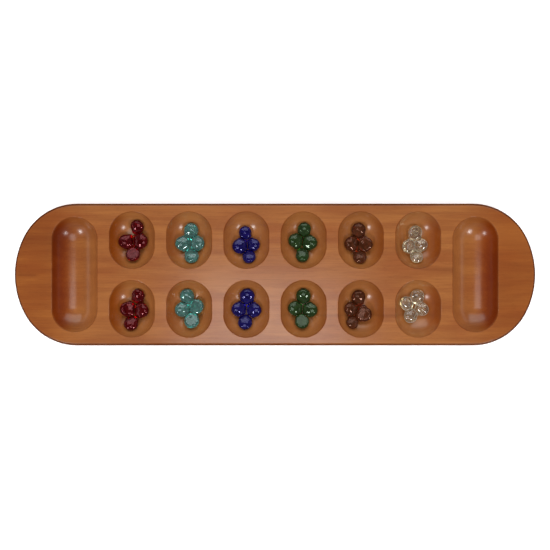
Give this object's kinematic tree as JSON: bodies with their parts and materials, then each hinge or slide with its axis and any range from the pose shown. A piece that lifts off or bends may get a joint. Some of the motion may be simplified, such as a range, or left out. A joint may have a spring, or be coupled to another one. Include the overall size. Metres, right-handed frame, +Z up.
{
  "type": "mancala board",
  "caption": "Long wooden mancala board with rounded ends, two rows of oblong pits, a long store across each end, and loose rounded glass gems in the pits.",
  "frame": {"origin": "middle of the board's underside, on the surface it stands on", "axes": "+X along the board, from the pits with red gems to the pits with clear gems; +Y from the front row of pits to the back row; +Z up, out of the pits' mouths"},
  "size_m": [0.5588, 0.1524, 0.0254],
  "materials": {
    "wood": "reddish-brown stained hardwood with a fine straight grain under satin-gloss lacquer",
    "glass_red": "translucent red cast glass, fire-polished",
    "glass_teal": "translucent teal cast glass, fire-polished",
    "glass_blue": "translucent blue cast glass, fire-polished",
    "glass_green": "translucent green cast glass, fire-polished",
    "glass_amber": "translucent amber cast glass, fire-polished",
    "glass_clear": "clear colourless cast glass"
  },
  "bodies": {
    "board": {"board": "wood"},
    "gem_red_back_1": {"gem_red_back_1": "glass_red"},
    "gem_red_back_2": {"gem_red_back_2": "glass_red"},
    "gem_red_back_3": {"gem_red_back_3": "glass_red"},
    "gem_red_back_4": {"gem_red_back_4": "glass_red"},
    "gem_red_front_1": {"gem_red_front_1": "glass_red"},
    "gem_red_front_2": {"gem_red_front_2": "glass_red"},
    "gem_red_front_3": {"gem_red_front_3": "glass_red"},
    "gem_red_front_4": {"gem_red_front_4": "glass_red"},
    "gem_teal_back_1": {"gem_teal_back_1": "glass_teal"},
    "gem_teal_back_2": {"gem_teal_back_2": "glass_teal"},
    "gem_teal_back_3": {"gem_teal_back_3": "glass_teal"},
    "gem_teal_back_4": {"gem_teal_back_4": "glass_teal"},
    "gem_teal_front_1": {"gem_teal_front_1": "glass_teal"},
    "gem_teal_front_2": {"gem_teal_front_2": "glass_teal"},
    "gem_teal_front_3": {"gem_teal_front_3": "glass_teal"},
    "gem_teal_front_4": {"gem_teal_front_4": "glass_teal"},
    "gem_blue_back_1": {"gem_blue_back_1": "glass_blue"},
    "gem_blue_back_2": {"gem_blue_back_2": "glass_blue"},
    "gem_blue_back_3": {"gem_blue_back_3": "glass_blue"},
    "gem_blue_back_4": {"gem_blue_back_4": "glass_blue"},
    "gem_blue_front_1": {"gem_blue_front_1": "glass_blue"},
    "gem_blue_front_2": {"gem_blue_front_2": "glass_blue"},
    "gem_blue_front_3": {"gem_blue_front_3": "glass_blue"},
    "gem_blue_front_4": {"gem_blue_front_4": "glass_blue"},
    "gem_green_back_1": {"gem_green_back_1": "glass_green"},
    "gem_green_back_2": {"gem_green_back_2": "glass_green"},
    "gem_green_back_3": {"gem_green_back_3": "glass_green"},
    "gem_green_back_4": {"gem_green_back_4": "glass_green"},
    "gem_green_front_1": {"gem_green_front_1": "glass_green"},
    "gem_green_front_2": {"gem_green_front_2": "glass_green"},
    "gem_green_front_3": {"gem_green_front_3": "glass_green"},
    "gem_green_front_4": {"gem_green_front_4": "glass_green"},
    "gem_amber_back_1": {"gem_amber_back_1": "glass_amber"},
    "gem_amber_back_2": {"gem_amber_back_2": "glass_amber"},
    "gem_amber_back_3": {"gem_amber_back_3": "glass_amber"},
    "gem_amber_back_4": {"gem_amber_back_4": "glass_amber"},
    "gem_amber_front_1": {"gem_amber_front_1": "glass_amber"},
    "gem_amber_front_2": {"gem_amber_front_2": "glass_amber"},
    "gem_amber_front_3": {"gem_amber_front_3": "glass_amber"},
    "gem_amber_front_4": {"gem_amber_front_4": "glass_amber"},
    "gem_clear_back_1": {"gem_clear_back_1": "glass_clear"},
    "gem_clear_back_2": {"gem_clear_back_2": "glass_clear"},
    "gem_clear_back_3": {"gem_clear_back_3": "glass_clear"},
    "gem_clear_back_4": {"gem_clear_back_4": "glass_clear"},
    "gem_clear_front_1": {"gem_clear_front_1": "glass_clear"},
    "gem_clear_front_2": {"gem_clear_front_2": "glass_clear"},
    "gem_clear_front_3": {"gem_clear_front_3": "glass_clear"},
    "gem_clear_front_4": {"gem_clear_front_4": "glass_clear"}
  },
  "joints": [
    {"name": "lift_gem_red_back_1", "type": "slide", "parent": "board", "child": "gem_red_back_1", "axis": [0, 0, 1], "range_m": [0, 0.06]},
    {"name": "lift_gem_red_back_2", "type": "slide", "parent": "board", "child": "gem_red_back_2", "axis": [0, 0, 1], "range_m": [0, 0.06]},
    {"name": "lift_gem_red_back_3", "type": "slide", "parent": "board", "child": "gem_red_back_3", "axis": [0, 0, 1], "range_m": [0, 0.06]},
    {"name": "lift_gem_red_back_4", "type": "slide", "parent": "board", "child": "gem_red_back_4", "axis": [0, 0, 1], "range_m": [0, 0.06]},
    {"name": "lift_gem_red_front_1", "type": "slide", "parent": "board", "child": "gem_red_front_1", "axis": [0, 0, 1], "range_m": [0, 0.06]},
    {"name": "lift_gem_red_front_2", "type": "slide", "parent": "board", "child": "gem_red_front_2", "axis": [0, 0, 1], "range_m": [0, 0.06]},
    {"name": "lift_gem_red_front_3", "type": "slide", "parent": "board", "child": "gem_red_front_3", "axis": [0, 0, 1], "range_m": [0, 0.06]},
    {"name": "lift_gem_red_front_4", "type": "slide", "parent": "board", "child": "gem_red_front_4", "axis": [0, 0, 1], "range_m": [0, 0.06]},
    {"name": "lift_gem_teal_back_1", "type": "slide", "parent": "board", "child": "gem_teal_back_1", "axis": [0, 0, 1], "range_m": [0, 0.06]},
    {"name": "lift_gem_teal_back_2", "type": "slide", "parent": "board", "child": "gem_teal_back_2", "axis": [0, 0, 1], "range_m": [0, 0.06]},
    {"name": "lift_gem_teal_back_3", "type": "slide", "parent": "board", "child": "gem_teal_back_3", "axis": [0, 0, 1], "range_m": [0, 0.06]},
    {"name": "lift_gem_teal_back_4", "type": "slide", "parent": "board", "child": "gem_teal_back_4", "axis": [0, 0, 1], "range_m": [0, 0.06]},
    {"name": "lift_gem_teal_front_1", "type": "slide", "parent": "board", "child": "gem_teal_front_1", "axis": [0, 0, 1], "range_m": [0, 0.06]},
    {"name": "lift_gem_teal_front_2", "type": "slide", "parent": "board", "child": "gem_teal_front_2", "axis": [0, 0, 1], "range_m": [0, 0.06]},
    {"name": "lift_gem_teal_front_3", "type": "slide", "parent": "board", "child": "gem_teal_front_3", "axis": [0, 0, 1], "range_m": [0, 0.06]},
    {"name": "lift_gem_teal_front_4", "type": "slide", "parent": "board", "child": "gem_teal_front_4", "axis": [0, 0, 1], "range_m": [0, 0.06]},
    {"name": "lift_gem_blue_back_1", "type": "slide", "parent": "board", "child": "gem_blue_back_1", "axis": [0, 0, 1], "range_m": [0, 0.06]},
    {"name": "lift_gem_blue_back_2", "type": "slide", "parent": "board", "child": "gem_blue_back_2", "axis": [0, 0, 1], "range_m": [0, 0.06]},
    {"name": "lift_gem_blue_back_3", "type": "slide", "parent": "board", "child": "gem_blue_back_3", "axis": [0, 0, 1], "range_m": [0, 0.06]},
    {"name": "lift_gem_blue_back_4", "type": "slide", "parent": "board", "child": "gem_blue_back_4", "axis": [0, 0, 1], "range_m": [0, 0.06]},
    {"name": "lift_gem_blue_front_1", "type": "slide", "parent": "board", "child": "gem_blue_front_1", "axis": [0, 0, 1], "range_m": [0, 0.06]},
    {"name": "lift_gem_blue_front_2", "type": "slide", "parent": "board", "child": "gem_blue_front_2", "axis": [0, 0, 1], "range_m": [0, 0.06]},
    {"name": "lift_gem_blue_front_3", "type": "slide", "parent": "board", "child": "gem_blue_front_3", "axis": [0, 0, 1], "range_m": [0, 0.06]},
    {"name": "lift_gem_blue_front_4", "type": "slide", "parent": "board", "child": "gem_blue_front_4", "axis": [0, 0, 1], "range_m": [0, 0.06]},
    {"name": "lift_gem_green_back_1", "type": "slide", "parent": "board", "child": "gem_green_back_1", "axis": [0, 0, 1], "range_m": [0, 0.06]},
    {"name": "lift_gem_green_back_2", "type": "slide", "parent": "board", "child": "gem_green_back_2", "axis": [0, 0, 1], "range_m": [0, 0.06]},
    {"name": "lift_gem_green_back_3", "type": "slide", "parent": "board", "child": "gem_green_back_3", "axis": [0, 0, 1], "range_m": [0, 0.06]},
    {"name": "lift_gem_green_back_4", "type": "slide", "parent": "board", "child": "gem_green_back_4", "axis": [0, 0, 1], "range_m": [0, 0.06]},
    {"name": "lift_gem_green_front_1", "type": "slide", "parent": "board", "child": "gem_green_front_1", "axis": [0, 0, 1], "range_m": [0, 0.06]},
    {"name": "lift_gem_green_front_2", "type": "slide", "parent": "board", "child": "gem_green_front_2", "axis": [0, 0, 1], "range_m": [0, 0.06]},
    {"name": "lift_gem_green_front_3", "type": "slide", "parent": "board", "child": "gem_green_front_3", "axis": [0, 0, 1], "range_m": [0, 0.06]},
    {"name": "lift_gem_green_front_4", "type": "slide", "parent": "board", "child": "gem_green_front_4", "axis": [0, 0, 1], "range_m": [0, 0.06]},
    {"name": "lift_gem_amber_back_1", "type": "slide", "parent": "board", "child": "gem_amber_back_1", "axis": [0, 0, 1], "range_m": [0, 0.06]},
    {"name": "lift_gem_amber_back_2", "type": "slide", "parent": "board", "child": "gem_amber_back_2", "axis": [0, 0, 1], "range_m": [0, 0.06]},
    {"name": "lift_gem_amber_back_3", "type": "slide", "parent": "board", "child": "gem_amber_back_3", "axis": [0, 0, 1], "range_m": [0, 0.06]},
    {"name": "lift_gem_amber_back_4", "type": "slide", "parent": "board", "child": "gem_amber_back_4", "axis": [0, 0, 1], "range_m": [0, 0.06]},
    {"name": "lift_gem_amber_front_1", "type": "slide", "parent": "board", "child": "gem_amber_front_1", "axis": [0, 0, 1], "range_m": [0, 0.06]},
    {"name": "lift_gem_amber_front_2", "type": "slide", "parent": "board", "child": "gem_amber_front_2", "axis": [0, 0, 1], "range_m": [0, 0.06]},
    {"name": "lift_gem_amber_front_3", "type": "slide", "parent": "board", "child": "gem_amber_front_3", "axis": [0, 0, 1], "range_m": [0, 0.06]},
    {"name": "lift_gem_amber_front_4", "type": "slide", "parent": "board", "child": "gem_amber_front_4", "axis": [0, 0, 1], "range_m": [0, 0.06]},
    {"name": "lift_gem_clear_back_1", "type": "slide", "parent": "board", "child": "gem_clear_back_1", "axis": [0, 0, 1], "range_m": [0, 0.06]},
    {"name": "lift_gem_clear_back_2", "type": "slide", "parent": "board", "child": "gem_clear_back_2", "axis": [0, 0, 1], "range_m": [0, 0.06]},
    {"name": "lift_gem_clear_back_3", "type": "slide", "parent": "board", "child": "gem_clear_back_3", "axis": [0, 0, 1], "range_m": [0, 0.06]},
    {"name": "lift_gem_clear_back_4", "type": "slide", "parent": "board", "child": "gem_clear_back_4", "axis": [0, 0, 1], "range_m": [0, 0.06]},
    {"name": "lift_gem_clear_front_1", "type": "slide", "parent": "board", "child": "gem_clear_front_1", "axis": [0, 0, 1], "range_m": [0, 0.06]},
    {"name": "lift_gem_clear_front_2", "type": "slide", "parent": "board", "child": "gem_clear_front_2", "axis": [0, 0, 1], "range_m": [0, 0.06]},
    {"name": "lift_gem_clear_front_3", "type": "slide", "parent": "board", "child": "gem_clear_front_3", "axis": [0, 0, 1], "range_m": [0, 0.06]},
    {"name": "lift_gem_clear_front_4", "type": "slide", "parent": "board", "child": "gem_clear_front_4", "axis": [0, 0, 1], "range_m": [0, 0.06]}
  ]
}
